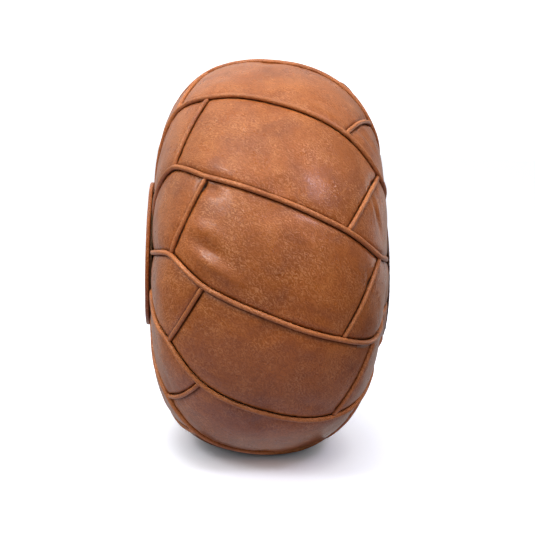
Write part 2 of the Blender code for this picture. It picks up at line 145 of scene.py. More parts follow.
# Welts: heights are of a welt's centre, off the skin
WELT_RADIUS = 3.2 * MM
WELT_HEIGHT = -0.2 * MM
WELT_END_DIP, WELT_END_REACH = 3.2 * MM, 9 * MM
WELT_POINTS = 260
TOP_WELT_END, BASE_WELT_END = 94.5 * MM, 120 * MM  # radii; the first is under the disc
WELT_SWAY, WELT_SWAY_LENGTH = 0.35 * MM, 90 * MM
WELT_RISE, WELT_RISE_LENGTH = 0.25 * MM, 70 * MM
CROSS_WELT_RADIUS = 2.9 * MM
CROSS_WELT_HEIGHT = -0.6 * MM
CROSS_WELT_INSET = 5 * MM  # its ends to the seams' centre lines
CROSS_WELT_POINTS = 64
CROSS_END_DIP, CROSS_END_REACH = 1.2 * MM, 5 * MM

# Discs and their topstitches
DISC_LEATHER = 1 * MM
DISC_DOME = 0.3 * MM
DISC_CORNER = 1.7 * MM
DISC_BOSS = 88.6 * MM  # inner edge of the leather turned over the board
DISC_STEPS = 160
DISC_ROUGH, BASE_DISC_ROUGH, DISC_ROUGH_SIZE = 0.25 * MM, 0.35 * MM, 26 * MM
STITCH_RING, STITCH_GROOVE = 93 * MM, 0.5 * MM
BASE_DISC_EDGE = 3 * MM
BASE_DISC_DEPTH = 4 * MM
BASE_STITCH_RING, BASE_STITCH_GROOVE = 76 * MM, 0.6 * MM
STITCH_PITCH = 4.2 * MM
STITCH_SHARE = 0.38  # half a stitch's length, for a pitch of 1
STITCH_SIDES, STITCH_RINGS = 6, 7
THREAD_RADIUS = 0.42 * MM
THREAD_LIFT, THREAD_DIP = 0.35 * MM, 0.7 * MM

# Stuffing
LINER = 0.8 * MM
LINER_DEPTH, FILLING_DEPTH = 9 * MM, 13 * MM
LINER_LUMPS, FILLING_LUMPS = 1.2 * MM, 3 * MM
LINER_MOUTH = 80 * MM  # radius of its opening under the zipped flap
BAG_ROWS, BAG_SIDES = 56, 120
BAG_END = 2 * MM  # from a closed end's last row to the middle of the face


def bulge_share(radius):
    """How much of the flap's bulge and lean there is at a radius."""
    share = np.clip((BULGE_END - radius) / (BULGE_END - BULGE_EDGE), 0, 1)
    return share ** 2 * (3 - 2 * share)


def leaned(points, share=1.0):
    """Points turned with the leaning flap about the middle of the base."""
    x, z = points[..., 0] - BASE_FACE, points[..., 2] - AXIS_HEIGHT
    new_x = BASE_FACE + x * math.cos(FLAP_LEAN) - z * math.sin(FLAP_LEAN)
    new_z = AXIS_HEIGHT + x * math.sin(FLAP_LEAN) + z * math.cos(FLAP_LEAN)
    moved = np.stack([new_x, points[..., 1], new_z], axis=-1)
    return points + np.asarray(share)[..., None] * (moved - points)


def profile_table():
    """Arc length, x, radius and outward normal along the profile, top face first."""
    turn = np.linspace(-math.pi / 2, math.pi / 2, 6001)
    x = HALF_WIDTH * np.sign(turn) * np.abs(np.sin(turn)) ** (2 / WIDTH_POWER)
    radius = RADIUS * np.abs(np.cos(turn)) ** (2 / RIM_POWER)
    x += BASE_BULGE * (turn > 0) * bulge_share(radius)
    length = np.concatenate([[0], np.cumsum(np.hypot(np.diff(x), np.diff(radius)))])
    length -= np.interp(0, x, length)
    along_x, along_r = np.gradient(x, length), np.gradient(radius, length)
    size = np.hypot(along_x, along_r)
    return length, x, radius, -along_r / size, along_x / size


LENGTH, X, RADII, NORMAL_X, NORMAL_R = profile_table()


def radius_at(s):
    """The skin's distance from the pouf's axis."""
    return np.interp(s, LENGTH, RADII)


def arc_to_radius(radius, side):
    """Arc length at which the skin has this radius: side -1 on the top face, +1 on the base."""
    half = LENGTH * side > 0
    order = np.argsort(RADII[half])
    return np.interp(radius, RADII[half][order], LENGTH[half][order])


def skin_points(s, phi, height=0.0):
    """Points at heights above the skin, lifted where the floor presses the skin in."""
    radius = radius_at(s)
    out_x, out_r = np.interp(s, LENGTH, NORMAL_X), np.interp(s, LENGTH, NORMAL_R)
    far = radius + height * out_r
    lift = np.maximum(0, -(AXIS_HEIGHT + radius * np.sin(phi)))
    x = np.interp(s, LENGTH, X) + height * out_x
    points = np.stack([x, -far * np.cos(phi), AXIS_HEIGHT + far * np.sin(phi) + lift], axis=-1)
    return leaned(points, bulge_share(radius) * (s > 0))


def dip(s):
    """How far the leather sinks in towards the top disc, and round the flap."""
    radius = radius_at(s)
    top = TOP_DIP * np.exp(-((radius - DISC_RADIUS) / TOP_DIP_REACH) ** 2)
    base = BASE_DIP * np.exp(-((radius - BASE_DIP_RADIUS) / BASE_DIP_REACH) ** 2)
    return np.where(s < 0, top, base)


# The woven pattern

def soft_ramp(distance):
    """0 before a bend and the distance after it, with a rounded corner."""
    return (distance + np.hypot(distance, BEND_ROUNDING)) / 2


def seam_corners():
    """Where the seam's slope changes, and by how much."""
    stops = [TOP_BEND, TOP_CROSS, BASE_CROSS, BASE_BEND]
    shares = [0, TOP_CROSS_SHARE, BASE_CROSS_SHARE, 1]
    slopes = [0, *(np.diff(shares) / np.diff(stops)), 0]
    return list(zip(stops, np.diff(slopes)))


CORNERS = seam_corners()


def seam_share(s):
    """Share of the one-strip step that a seam has made at s."""
    return sum(change * soft_ramp(s - stop) for stop, change in CORNERS)


def strip_phi(strip, s, across):
    """Angle at a share across a strip, from its upper seam (0) to its lower one (1)."""
    return FIRST_SEAM - STEP * (strip + across + seam_share(s))


def top_cross(across):
    """Arc length of a side panel's seam with its top petal."""
    return TOP_CROSS + (TOP_BEND - TOP_CROSS) * across


def base_cross(across):
    """Arc length of a side panel's seam with its base petal."""
    return BASE_BEND + (BASE_CROSS - BASE_BEND) * across


def seam_slope(s):
    """Sideways travel of a seam for a unit of arc length."""
    reach = MM
    return STEP * radius_at(s) * (seam_share(s + reach) - seam_share(s - reach)) / (2 * reach)


def seam_scale(s):
    """Distance from a seam for a full share of the strip's width."""
    return STEP * radius_at(s) / np.hypot(1, seam_slope(s))


def cross_scale(cross, across):
    """Distance from a cross seam for a unit of arc length."""
    s, run = cross(across), cross(1) - cross(0)
    drop = STEP * radius_at(s) + seam_slope(s) * run
    return np.abs(run * seam_slope(s) - drop) / np.hypot(run, drop)


# Meshes and pieces

def new_object(name, points, faces, smooth=True):
    """An object in the scene, made from points and faces."""
    mesh = bpy.data.meshes.new(name)
    mesh.from_pydata([tuple(p) for p in points], [], faces)
    mesh.validate()
    if smooth:
        mesh.shade_smooth()
    made = bpy.data.objects.new(name, mesh)
    bpy.context.scene.collection.objects.link(made)
    return made


def painted(made, look):
    """The object with this material alone."""
    made.data.materials.clear()
    made.data.materials.append(LOOKS[look])
    return made


def piece(made, slot, node, look=None):
    """Gives a piece its slot's look or another and its body, and hides the CAD node that it stands
    for.
    """
    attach(painted(made, look or slot), BODY)
    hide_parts(node)


def thicken(made, thickness):
    """Gives a surface a thickness, inwards."""
    solid = made.modifiers.new("thickness", "SOLIDIFY")
    solid.thickness, solid.offset = thickness, -1


def grid_faces(rows, columns, first=0, wrap=False):
    """Quads of a grid of points stored row by row; wrap joins the last column to the first."""
    quads = []
    last = columns if wrap else columns - 1
    for i in range(rows - 1):
        for j in range(last):
            a, b = first + i * columns + j, first + i * columns + (j + 1) % columns
            quads.append((a, b, b + columns, a + columns))
    return quads


def noise_at(points, scale, seed=0.0):
    """Smooth noise, about -1 to 1, with features of about this scale."""
    shift = Vector((seed * 7.3, seed * 3.1, seed * 5.7))
    return np.array([noise.noise(Vector(p) / scale + shift) for p in points])


def applied(made):
    """The object's mesh with its modifiers applied."""
    bpy.context.view_layer.update()
    graph = bpy.context.evaluated_depsgraph_get()
    mesh = bpy.data.meshes.new_from_object(made.evaluated_get(graph))
    made.modifiers.clear()
    made.data = mesh
    return made


def read_vectors(items, name):
    """A vector of each item as the rows of an array."""
    flat = np.empty(len(items) * 3, np.float32)
    items.foreach_get(name, flat)
    return flat.reshape(-1, 3).astype(float)


def points_of(mesh):
    """A mesh's points as an array."""
    return read_vectors(mesh.vertices, "co")


def set_points(mesh, points):
    """Moves a mesh's points to these places."""
    mesh.vertices.foreach_set("co", points.astype(np.float32).ravel())
    mesh.update()


def store(mesh, name, values):
    """Keeps a number for each point, for the materials and for later shaping."""
    layer = mesh.attributes.new(name, "FLOAT", "POINT")
    layer.data.foreach_set("value", np.asarray(values, np.float32).ravel())


def stored(mesh, name):
    """The numbers kept for the points under a name."""
    values = np.empty(len(mesh.vertices), np.float32)
    mesh.attributes[name].data.foreach_get("value", values)
    return values.astype(float)


# Leather panels

class Rows:
    """Rows of a grid between two edges: some at set distances, the rest evenly between."""

    def __init__(self, near, far, middle):
        share = np.linspace(0, 1, middle + 2)[1:-1]
        self.share = np.concatenate([np.zeros(len(near)), share, np.ones(len(far))])
        self.near = np.concatenate([near, np.full(middle + len(far), near[-1])])
        self.far = np.concatenate([np.full(middle + len(near), far[-1]), far[::-1]])

    def __len__(self):
        return len(self.share)

    def between(self, low, high, low_scale, high_scale, axis):
        """Places of the rows between low and high, whose scales turn a unit into a distance."""
        shape = (-1, 1) if axis == 0 else (1, -1)
        share, near, far = (a.reshape(shape) for a in (self.share, self.near, self.far))
        return (low + near / low_scale) * (1 - share) + (high - far / high_scale) * share


class Patch:
    """One leather piece: a grid between the seams of its strip and two edges across it."""

    def __init__(self, name, strip, slot, low, high, rows, columns):
        self.name, self.strip, self.slot = name, strip, slot
        low_edge, low_scale = low
        high_edge, high_scale = high
        w = np.tile(columns.share, (len(rows), 1))
        for _ in range(4):  # rows and columns lean on each other, and soon settle
            s = rows.between(low_edge(w), high_edge(w), low_scale(w), high_scale(w), 0)
            w = columns.between(0, 1, seam_scale(s), seam_scale(s), 1)
        self.shape = s.shape
        self.s, self.across = s.ravel(), w.ravel()
        scale = seam_scale(self.s)
        self.beside_seam = np.minimum(self.across, 1 - self.across) * scale
        self.from_low = (self.s - low_edge(self.across)) * low_scale(self.across)
        self.from_high = (high_edge(self.across) - self.s) * high_scale(self.across)
        self.phi = strip_phi(strip, self.s, self.across)

    def faces(self, first):
        """Quads of the patch, its points numbered from first."""
        return grid_faces(*self.shape, first)


def fixed_edge(s):
    """An edge at one arc length, and its scale."""
    return (lambda across: np.full_like(across, s)), (lambda across: np.ones_like(across))


def cross_edge(cross):
    """An edge along a cross seam, and its scale."""
    return cross, (lambda across: cross_scale(cross, across))


def panel_patches():
    """The three panels of each strip."""
    columns = Rows(SEAM_ROWS, SEAM_ROWS, 16)
    narrow = Rows(SEAM_ROWS, SEAM_ROWS, 10)
    side_rows = Rows(SEAM_ROWS, SEAM_ROWS, 28)
    top_rows = Rows(TOP_HEM_ROWS, SEAM_ROWS, 22)
    base_rows = Rows(SEAM_ROWS, BASE_HEM_ROWS, 14)
    top, base = cross_edge(top_cross), cross_edge(base_cross)
    disc = fixed_edge(arc_to_radius(TOP_PETAL_END, -1))
    zip_edge = fixed_edge(arc_to_radius(BASE_PETAL_END, 1))
    kinds = (
        ("side_panel", "side_leather", top, base, side_rows, columns),
        ("top_petal", "top_leather", disc, top, top_rows, narrow),
        ("base_petal", "base_leather", base, zip_edge, base_rows, narrow),
    )
    made = []
    for strip in range(STRIPS):
        for name, *rest in kinds:
            made.append(Patch(f"{name}_{strip + 1:02d}", strip, *rest))
    return made


def seam_distance(patch):
    """Distance of each point from the nearest welted seam."""
    distance = patch.beside_seam
    if patch.slot != "top_leather":
        distance = np.minimum(distance, patch.from_low)
    if patch.slot != "base_leather":
        distance = np.minimum(distance, patch.from_high)
    return distance


def hem_distance(patch):
    """Distance of each point from a turned edge, beside the zip or under the top disc's rim."""
    tucked = np.maximum(0, patch.from_low - TUCK)
    return {"top_leather": tucked, "base_leather": patch.from_high}.get(patch.slot, 1.0)


def inflate(patches):
    """All the panels as one cloth, pinned along the seams and blown up from inside."""
    points, faces, pinned = [], [], []
    first = 0
    for patch in patches:
        distance, hem = seam_distance(patch), hem_distance(patch)
        height = np.interp(distance, *SEAM_PROFILE) - HEM_DIP * np.exp(-hem / HEM_REACH)
        points.append(skin_points(patch.s, patch.phi, height - dip(patch.s)))
        faces += patch.faces(first)
        pinned.append(np.minimum(distance, hem) < PINNED)
        first += patch.s.size
    cover = new_object("cover_cloth", np.concatenate(points), faces)
    start = points_of(cover.data)
    moved = start
    simulate(cover, np.concatenate(pinned))
    moved = points_of(cover.data)
    bpy.data.objects.remove(cover)
    return start, moved


def simulate(cover, still):
    """Cloth under pressure, pinned at the seams, applied after its last frame."""
    group = cover.vertex_groups.new(name=CLOTH_SETTINGS["vertex_group_mass"])
    group.add([int(i) for i in np.flatnonzero(still)], 1.0, "REPLACE")
    cloth = cover.modifiers.new("cloth", "CLOTH")
    for key, value in CLOTH_SETTINGS.items():
        setattr(cloth.settings, key, value)
    cloth.settings.effector_weights.gravity = 0
    cloth.collision_settings.use_collision = False
    cloth.collision_settings.use_self_collision = False
    cloth.point_cache.frame_start = 1
    cloth.point_cache.frame_end = CLOTH_FRAMES
    for number in range(1, CLOTH_FRAMES + 1):
        bpy.context.scene.frame_set(number)
    applied(cover)


def softly_capped(start, moved):
    """Keeps the bulge small, and the leather off the floor."""
    move = moved - start
    size = np.maximum(np.linalg.norm(move, axis=1, keepdims=True), 1e-9)
    points = start + move / size * MOST_BULGE * np.tanh(size / MOST_BULGE)
    points[:, 2] = np.maximum(points[:, 2], FLOOR_GAP)
    return points


# Single dents, or rolls where the depth is negative: strip, s in mm, share across the strip,
# length and breadth in mm, turn in degrees, depth in mm
SINGLE_DENTS = (
    (2, -84, 0.10, 18, 7, -31, 3.4),
    (2, -58, 0.13, 26, 8, -33, -1.7),
    (2, -92, 0.50, 24, 9, -24, -1.8),
    (2, -84, 0.65, 26, 8, -26, 3.0),
    (2, -73, 0.79, 32, 8, -31, -2.5),
    (1, 46, 0.74, 44, 26, -25, -1.6),
    (1, -66, 0.90, 26, 7, -31, -1.1),
    (0, 128, 0.82, 26, 4.5, -12, -1.5),
    (0, 134, 0.70, 26, 4.5, -14, 2.0),
    (0, 140, 0.57, 24, 4.5, -16, -1.5),
    (1, 138, 0.56, 32, 4, -60, -1.5),
    (1, 146, 0.56, 32, 4, -60, 2.0),
    (1, 155, 0.54, 32, 4, -60, -1.6),
    (1, 164, 0.53, 30, 4, -62, 1.6),
)


def pull_folds():
    """Soft folds that run from the corners of the panels, where the cross welts pull."""
    random = np.random.default_rng(11)
    corners = (  # as in SINGLE_DENTS, without the strip
        (-58, 0.16, 36, 8, -31, 1.0), (-66, 0.78, 30, 9, -31, -0.9), (60, 0.82, 34, 9, -31, 0.9),
        (48, 0.22, 30, 10, -31, -0.8), (138, 0.30, 20, 5, -60, 1.1), (150, 0.62, 24, 5, -60, 1.2),
        (-150, 0.68, 20, 7, -60, 0.7), (-185, 0.40, 26, 8, 5, -0.7),
    )
    folds = []
    for strip in range(STRIPS):
        for s, across, length, breadth, turn, depth in corners:
            shift = random.normal(0, 1, 4)
            place = (strip, s + 6 * shift[0], across + 0.03 * shift[1])
            lie = (turn + 5 * shift[2], depth * (1 + 0.45 * shift[3]))
            folds.append((*place, length, breadth, *lie))
    return folds


DENTS = [
    (strip, at * MM, across, length * MM, breadth * MM, math.radians(turn), depth * MM)
    for strip, at, across, length, breadth, turn, depth in (*pull_folds(), *SINGLE_DENTS)
]


def creases(along, distance, seed):
    """Small creases across a seam, uneven along it and fading away from it."""
    turn = 2 * math.pi * along / CREASE_LENGTH
    phase = 1.3 * np.sin(turn / 3.7 + 2.1 * seed) + 0.9 * np.sin(turn / 5.3 + 4.7 * seed)
    strength = 0.5 + 0.35 * np.sin(turn / 6.1 + 1.3 * seed) + 0.25 * np.sin(turn / 2.9 + 3.3 * seed)
    past = distance - CREASE_START
    fade = np.clip(past / CREASE_START, 0, 1) * np.exp(-past / CREASE_REACH)
    return CREASE_DEPTH * np.sin(turn + phase) * np.clip(strength, 0, 1) * fade


def relief(patch, mesh):
    """Height added to a panel: creases at its seams, dents, and uneven leather."""
    s, across = stored(mesh, "s"), stored(mesh, "across")
    scale = seam_scale(s)
    seed = 1.7 * patch.strip + len(patch.name)
    height = creases(s * 1.08, across * scale, seed) + creases(s, (1 - across) * scale, seed + 5)
    width = across * STEP * RADIUS
    for name, offset in (("from_low", 9), ("from_high", 13)):
        distance = stored(mesh, name)
        if (name, patch.slot) not in (("from_low", "top_leather"), ("from_high", "base_leather")):
            height += 1.15 * creases(width, distance, seed + offset)
    phi = strip_phi(patch.strip, s, across)
    for strip, at_s, at_across, length, breadth, turn, depth in DENTS:
        if strip != patch.strip:
            continue
        u = s - at_s
        v = (phi - strip_phi(strip, at_s, at_across)) * radius_at(at_s)
        along = u * math.cos(turn) + v * math.sin(turn)
        aside = v * math.cos(turn) - u * math.sin(turn)
        height -= depth * np.exp(-(along / length) ** 2 - (aside / breadth) ** 2)
    points = points_of(mesh)
    inside = np.clip(stored(mesh, "seam_distance") / SMOOTH_EDGE, 0, 1)
    broad, fine = noise_at(points, UNEVEN_SIZE, 1), noise_at(points, FINE_SIZE, 2)
    return height + inside * (UNEVEN_HEIGHT * broad + FINE_HEIGHT * fine)


def leather_panels():
    """The 36 panels, each a piece of the blown-up cover with its own relief and thickness."""
    patches = panel_patches()
    start, moved = inflate(patches)
    points = softly_capped(start, moved)
    first = 0
    for patch in patches:
        count = patch.s.size
        made = new_object("cover_" + patch.name, points[first:first + count], patch.faces(0))
        first += count
        for name in ("s", "across", "from_low", "from_high"):
            store(made.data, name, getattr(patch, name))
        # This distance shapes the relief and also darkens the leather near the seams: painted
        # shade.
        store(made.data, "seam_distance", seam_distance(patch))
        finer = made.modifiers.new("finer", "SUBSURF")
        finer.levels = finer.render_levels = 1
        applied(made)
        height = relief(patch, made.data)
        normals = read_vectors(made.data.vertex_normals, "vector")
        shaped = points_of(made.data) + height[:, None] * normals
        shaped[:, 2] = np.maximum(shaped[:, 2], FLOOR_GAP)
        set_points(made.data, shaped)
        thicken(made, LEATHER)
        piece(made, patch.slot, patch.name)


# Welts

def unit(vectors):
    """The vectors at length 1."""
    return vectors / np.linalg.norm(vectors, axis=-1, keepdims=True)


def outward(s, phi):
    """Direction off the skin."""
    out_x, out_r = np.interp(s, LENGTH, NORMAL_X), np.interp(s, LENGTH, NORMAL_R)
    return np.stack([out_x, -out_r * np.cos(phi), out_r * np.sin(phi)], axis=-1)


def rod(centres, up, side, radius, sides, first=0):
    """Points and faces of a closed rod of round rings, its points numbered from first."""
    turn = np.linspace(0, 2 * math.pi, sides, endpoint=False)[None, :, None]
    ring = np.cos(turn) * up[:, None] + np.sin(turn) * side[:, None]
    points = centres[:, None] + radius[:, None, None] * ring
    last = first + (len(centres) - 1) * sides
    faces = grid_faces(len(centres), sides, first, wrap=True)
    faces.append(tuple(range(first + sides - 1, first - 1, -1)))
    faces.append(tuple(range(last, last + sides)))
    return points.reshape(-1, 3), faces


def swept(name, centres, up, radius, sides=12, rounded=True):
    """A closed rod along the centres."""
    tangent = unit(np.gradient(centres, axis=0))
    side = unit(np.cross(tangent, up))
    up = np.cross(side, tangent)
    if rounded:
        turns = np.radians([82, 62, 40, 20])
        parts = []
        for at, sign, angles in ((0, -1, turns), (-1, 1, turns[::-1])):
            shift = sign * radius[at] * np.sin(angles)[:, None] * tangent[at]
            parts.append((centres[at] + shift, radius[at] * np.cos(angles)))
        before, after = parts
        centres = np.concatenate([before[0], centres, after[0]])
        radius = np.concatenate([before[1], radius, after[1]])
        ends = ((len(turns), len(turns)), (0, 0))
        side, up = np.pad(side, ends, "edge"), np.pad(up, ends, "edge")
    return new_object(name, *rod(centres, up, side, radius, sides))


def wobble(along, length, seed):
    """Uneven waves of about this length, -1 to 1."""
    turn = 2 * math.pi * along / length
    long_wave, short_wave = np.sin(turn / 1.7 + 2.3 * seed), np.sin(turn * 2.3 + 4.1 * seed)
    return (np.sin(turn + seed) + 0.6 * long_wave + 0.4 * short_wave) / 2


def welt(name, s, phi, radius, height, seed):
    """A piped welt: a leather-wrapped cord that follows the seam a little unevenly."""
    centres = skin_points(s, phi, height - dip(s))
    steps = np.linalg.norm(np.diff(centres, axis=0), axis=1)
    along = np.concatenate([[0], np.cumsum(steps)])
    up = outward(s, phi)
    tangent = unit(np.gradient(centres, axis=0))
    side = unit(np.cross(tangent, up))
    centres += side * (WELT_SWAY * wobble(along, WELT_SWAY_LENGTH, seed))[:, None]
    centres += up * (WELT_RISE * wobble(along, WELT_RISE_LENGTH, seed + 2))[:, None]
    swelling = 0.025 * wobble(along, 23 * MM, seed) + 0.015 * wobble(along, 6 * MM, seed + 1)
    thickness = radius * (1 + swelling)
    centres[:, 2] = np.maximum(centres[:, 2], thickness + FLOOR_GAP)
    return swept(name, centres, up, thickness)


def welts():
    """One long welt and two cross welts for each strip."""
    start, end = arc_to_radius(TOP_WELT_END, -1), arc_to_radius(BASE_WELT_END, 1)
    for strip in range(STRIPS):
        number = f"{strip + 1:02d}"
        s = np.linspace(start, end, WELT_POINTS)
        from_end = np.minimum(s - start, end - s)
        end_dip = WELT_END_DIP * np.exp(-(from_end / WELT_END_REACH) ** 2)
        height = WELT_HEIGHT - end_dip - 0.6 * dip(s) * (s > 0)
        made = welt("welt_" + number, s, strip_phi(strip, s, 0), WELT_RADIUS, height, strip)
        piece(made, "piping_leather", "piping_" + number)
        for label, cross in (("top", top_cross), ("base", base_cross)):
            slope = STEP * radius_at(cross(0.5))
            inset = CROSS_WELT_INSET / slope
            across = np.linspace(inset, 1 - inset, CROSS_WELT_POINTS)
            s = cross(across)
            from_end = np.minimum(across, 1 - across) * slope - CROSS_WELT_INSET
            height = CROSS_WELT_HEIGHT - CROSS_END_DIP * np.exp(-from_end / CROSS_END_REACH)
            name = f"cross_welt_{label}_{number}"
            phi = strip_phi(strip, s, across)
            made = welt(name, s, phi, CROSS_WELT_RADIUS, height, strip + len(label))
            piece(made, "piping_leather", "piping_" + number)


# Discs

def face_points(phi, radius, height, side=1):
    """Points on a face: side 1 is the base and -1 the top, height is from the face's middle."""
    phi, radius, height = np.broadcast_arrays(phi, radius, height)
    x = BASE_FACE + height if side > 0 else -HALF_WIDTH - height
    points = np.stack([x, -radius * np.cos(phi), AXIS_HEIGHT + radius * np.sin(phi)], axis=-1)
    return leaned(points) if side > 0 else points


def turned(name, outline, side, rough):
    """A closed, slightly uneven shape turned about the pouf's axis from (radius, height) points."""
    radius, height = np.array(outline).T
    phi = np.linspace(0, 2 * math.pi, DISC_STEPS, endpoint=False)
    points = face_points(phi[None, :], radius[1:-1, None], height[1:-1, None], side).reshape(-1, 3)
    points[:, 0] += rough * noise_at(points, DISC_ROUGH_SIZE, 3)
    poles = face_points(np.zeros(2), np.zeros(2), height[[0, -1]], side)
    faces = grid_faces(len(radius) - 2, DISC_STEPS, wrap=True)
    first, last = len(points), len(points) + 1
    last_row = len(points) - DISC_STEPS
    for j in range(DISC_STEPS):
        k = (j + 1) % DISC_STEPS
        faces.append((first, k, j))
        faces.append((last, last_row + j, last_row + k))
    if side > 0:
        faces = [tuple(reversed(face)) for face in faces]
    return new_object(name, np.concatenate([points, poles]), faces)


def arc_outline(centre, radius, start, end, steps):
    """Points of an arc of (radius, height), angles in degrees."""
    turn = np.radians(np.linspace(start, end, steps))
    return list(zip(centre[0] + radius * np.cos(turn), centre[1] + radius * np.sin(turn)))


def stitches(name, radius, height, side, slot, node):
    """A ring of topstitches on a face: each a short thread that dips at its ends."""
    count = int(2 * math.pi * radius / STITCH_PITCH)
    middle = (np.arange(count) + 0.5) * 2 * math.pi / count
    share = np.linspace(-1, 1, STITCH_RINGS)
    points, faces = [], []
    half = STITCH_SHARE * STITCH_PITCH / radius
    for phi in middle:
        along = phi + half * share
        lift = height + THREAD_LIFT - THREAD_DIP * share ** 4
        centres = face_points(along, radius, lift, side)
        up = np.array([side, 0, 0])[None, :]
        across = unit(face_points(along, 1.0, 0, side) - face_points(along, 0.0, 0, side))
        thick = THREAD_RADIUS * np.sqrt(1 - 0.6 * share ** 4)
        thread, sides = rod(centres, up, across, thick, STITCH_SIDES, len(points))
        points.extend(thread)
        faces += sides
    piece(new_object(name, points, faces), slot, node, look="thread")


def grooved(rise, flat, shares, ring, depth, width):
    """A disc's face from its middle to its corner, sunk along the ring of stitches."""
    points = [(0, rise(0))]
    for share in shares:
        groove = depth * math.exp(-((share * flat - ring) / width) ** 2)
        points.append((share * flat, rise(share) - groove))
    return points


def top_disc():
    """A leather-covered disc on the top face, its rim turned over a board."""
    height, underside = -DISC_LOW.x - HALF_WIDTH, -DISC_HIGH.x - HALF_WIDTH

    def rise(share):
        return height - DISC_DOME * share ** 2

    flat = DISC_RADIUS - DISC_CORNER
    shares = np.linspace(0.04, 0.985, 26)
    front = grooved(rise, flat, shares, STITCH_RING, STITCH_GROOVE, 1.6 * MM)
    upper = (flat, height - DISC_DOME - DISC_CORNER)
    lower = (flat, underside + DISC_CORNER)
    rim = arc_outline(upper, DISC_CORNER, 85, 0, 6) + arc_outline(lower, DISC_CORNER, 0, -90, 6)
    back = [(DISC_BOSS, underside), (DISC_BOSS, underside + DISC_LEATHER)]
    inside = height - DISC_DOME - DISC_LEATHER
    inner = [(flat, underside + DISC_LEATHER), (DISC_RADIUS - DISC_LEATHER, lower[1]),
             (DISC_RADIUS - DISC_LEATHER, upper[1]), (flat, inside)]
    outline = front + rim + back + inner + [(0, inside)]
    made = turned("disc_cover", outline, -1, DISC_ROUGH)
    piece(made, "disc_leather", "top_disc_cover")
    surface = rise(STITCH_RING / flat) - STITCH_GROOVE
    stitches("disc_stitches", STITCH_RING, surface, -1, "disc_leather", "top_disc_cover")
    cad_piece("top_disc_board", "disc_board", 0.5 * MM)


def cad_piece(node, look, width):
    """Shows a CAD node itself, painted, its sharp edges rounded to a width."""
    bevel = painted(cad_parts[node], look).modifiers.new("soft edges", "BEVEL")
    bevel.width = width
    bevel.segments = 2
    bevel.limit_method = "ANGLE"
    bevel.angle_limit = math.radians(35)


def middle_distance(mesh):
    """Distance of each point from the middle of the base, along the flap."""
    points = points_of(mesh) - [BASE_FACE, 0, AXIS_HEIGHT]
    return np.linalg.norm(points, axis=1)


def base_disc():
    """The padded disc inside the zip."""
    def rise(share):
        return BASE_DISC_RISE * (1 - 0.35 * share ** 3)

    flat = BASE_DISC_RADIUS - BASE_DISC_EDGE
    shares = np.linspace(0.03, 0.97, 30)
    dome = grooved(rise, flat, shares, BASE_STITCH_RING, BASE_STITCH_GROOVE, 1.8 * MM)
    rim = arc_outline((flat, -1.2 * MM), BASE_DISC_EDGE, 85, 0, 8)
    outline = dome + rim + [(BASE_DISC_RADIUS, -BASE_DISC_DEPTH), (0, -BASE_DISC_DEPTH)]
    made = turned("base_disc", outline, 1, BASE_DISC_ROUGH)
    # This distance darkens the leather near the disc's rim: painted shade.
    store(made.data, "seam_distance", BASE_DISC_RADIUS - middle_distance(made.data))
    piece(made, "base_leather", "base_disc_panel")
    surface = rise(BASE_STITCH_RING / flat) - BASE_STITCH_GROOVE
    stitches("base_disc_stitches", BASE_STITCH_RING, surface, 1, "base_leather", "base_disc_panel")


def face_height(radius):
    """Height of the base face's skin at a radius, from the middle of the face."""
    return np.interp(arc_to_radius(radius, 1), LENGTH, X) - BASE_FACE


def ring_grid(name, inner, outer, start, end, cells, lift):
    """Part of a flat ring that lies on the base face, lifted by a function of radius and angle."""
    radii = np.linspace(inner, outer, cells[0] + 1)
    phi = np.linspace(start, end, cells[1] + 1)
    level = np.array([face_height(r) for r in radii])
    grid_phi, grid_radius = np.meshgrid(phi, radii)
    height = level[:, None] + lift(grid_radius, grid_phi)
    points = face_points(grid_phi, grid_radius, height)
    faces = [tuple(reversed(face)) for face in grid_faces(cells[0] + 1, cells[1] + 1)]
    return new_object(name, points.reshape(-1, 3), faces)


def hinge_strip():
    """The leather across the gap in the zip, creased where the flap folds."""
    margin = SEAM_GAP / BASE_DISC_RADIUS
    start, end = ZIP_END + margin, ZIP_START - margin + 2 * math.pi

    def lift(radius, phi):
        crease = np.exp(-((radius - HINGE_CREASE) / (2.2 * MM)) ** 2)
        near = np.exp(-((radius - HINGE_CREASE) / (9 * MM)) ** 2)
        folds = near * np.sin(phi * 31 + 2 * np.sin(phi * 9))
        return -HINGE_CREASE_DEPTH * crease + HINGE_FOLD_HEIGHT * folds - HINGE_SINK

    made = ring_grid("hinge_leather", *HINGE_EDGES, start, end, (18, 150), lift)
    across = middle_distance(made.data)
    edge = np.minimum(across - HINGE_EDGES[0], HINGE_EDGES[1] - across)
    # This distance darkens the leather near the strip's edges: painted shade.
    store(made.data, "seam_distance", edge + 3 * MM)
    thicken(made, LEATHER)
    piece(made, "base_leather", "base_hinge_strip")


# Zip

def zip_tapes():
    """Two woven tapes, a little wavy away from the coils."""
    def lift(radius, phi):
        wave = TAPE_WAVE * np.sin(phi * 43 + 1.5 * np.sin(phi * 11))
        return wave * np.abs(radius - ZIP_RADIUS) / (15 * MM) - TAPE_SINK

    for label, inner, outer in (
        ("inner", TAPE_RADII[0], ZIP_RADIUS - ZIP_SLOT / 2),
        ("outer", ZIP_RADIUS + ZIP_SLOT / 2, TAPE_RADII[1]),
    ):
        made = ring_grid("tape_" + label, inner, outer, ZIP_START, ZIP_END, (6, 240), lift)
        thicken(made, TAPE)
        piece(made, "zip_tape", "zip_tape_" + label)


